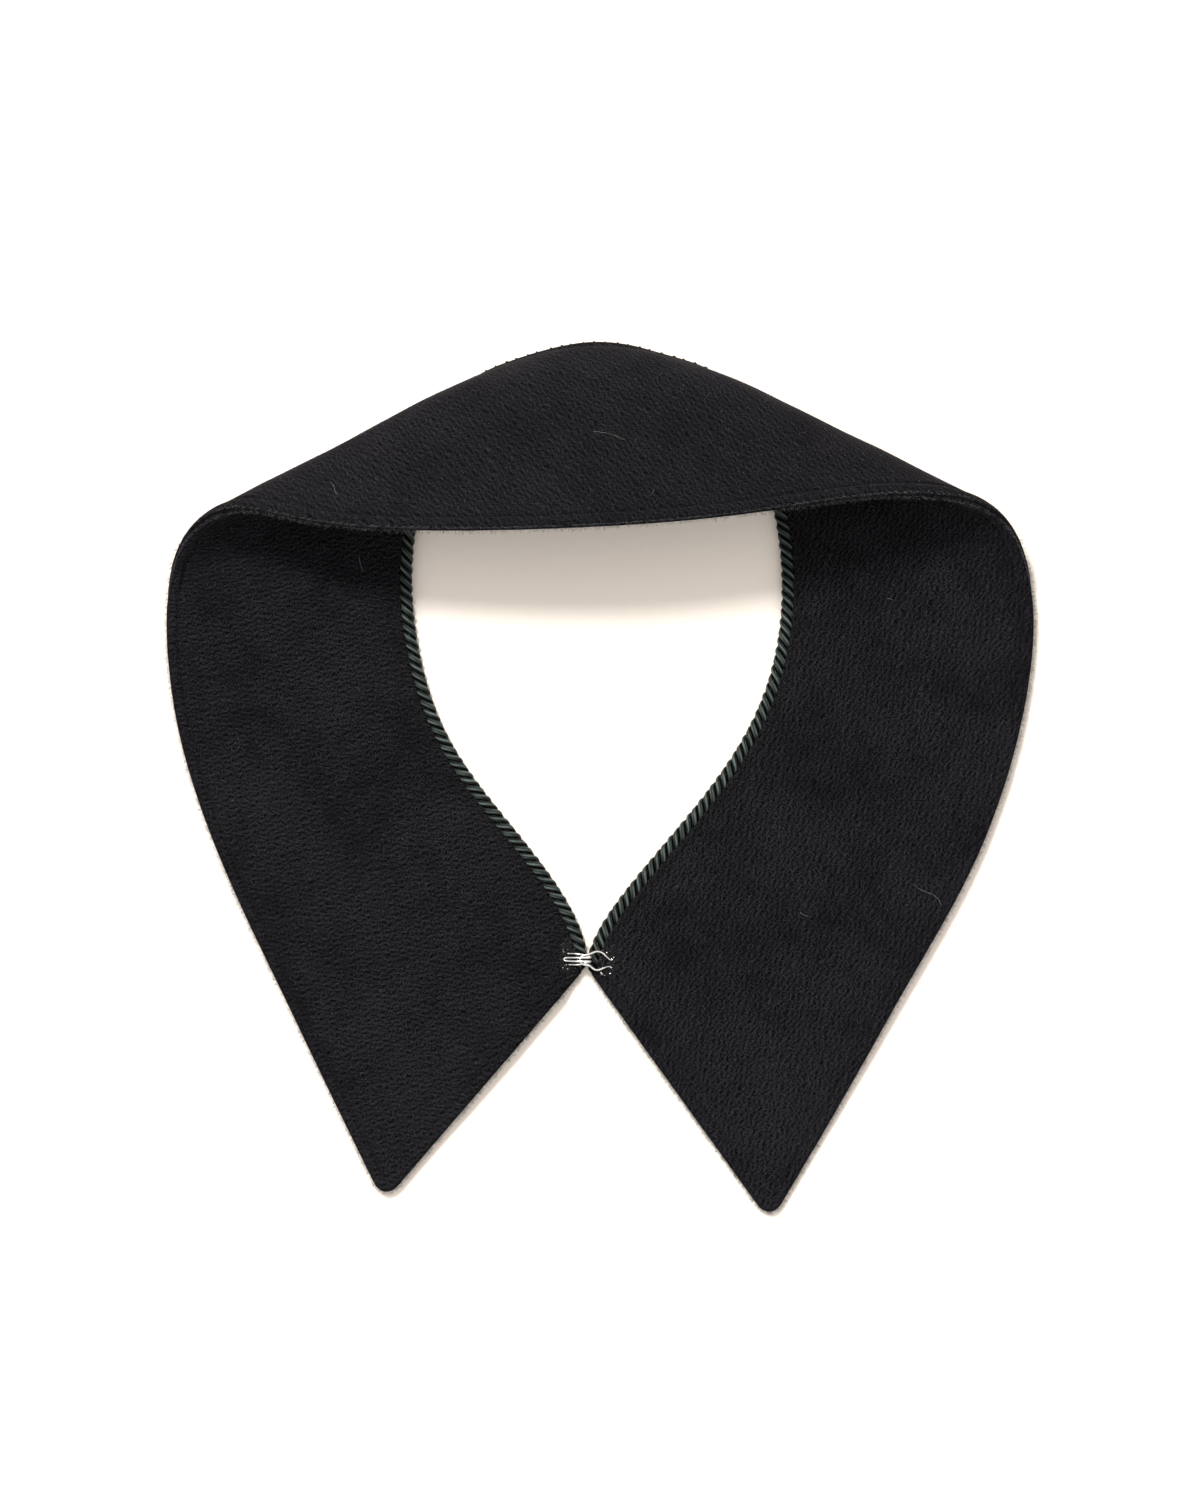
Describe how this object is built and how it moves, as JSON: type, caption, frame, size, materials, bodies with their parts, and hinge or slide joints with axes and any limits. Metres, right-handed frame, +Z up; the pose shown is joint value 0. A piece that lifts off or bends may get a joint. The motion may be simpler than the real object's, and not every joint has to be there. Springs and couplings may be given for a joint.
{
  "type": "detachable shirt collar",
  "caption": "Wool detachable collar with pointed fronts and a twisted neck cord, hooked closed and laid on its front panels with the back fall rolled over.",
  "frame": {"origin": "centre of the outline, on the surface that the front panels lie on", "axes": "+Z up; +Y from the two collar points towards the centre back; +X to the right, seen from above, so the hook is on the -X side"},
  "size_m": [0.225, 0.2246, 0.0387],
  "materials": {
    "upper_wool": "brushed black wool melton",
    "under_wool": "black wool, fine twill grain",
    "cord": "dark green satin, three twisted strands",
    "wire": "bright nickelled wire"
  },
  "bodies": {
    "root": {"upper_collar": "upper_wool", "under_collar": "under_wool", "neck_cord": "cord", "hook": "wire", "eye": "wire"}
  },
  "joints": []
}
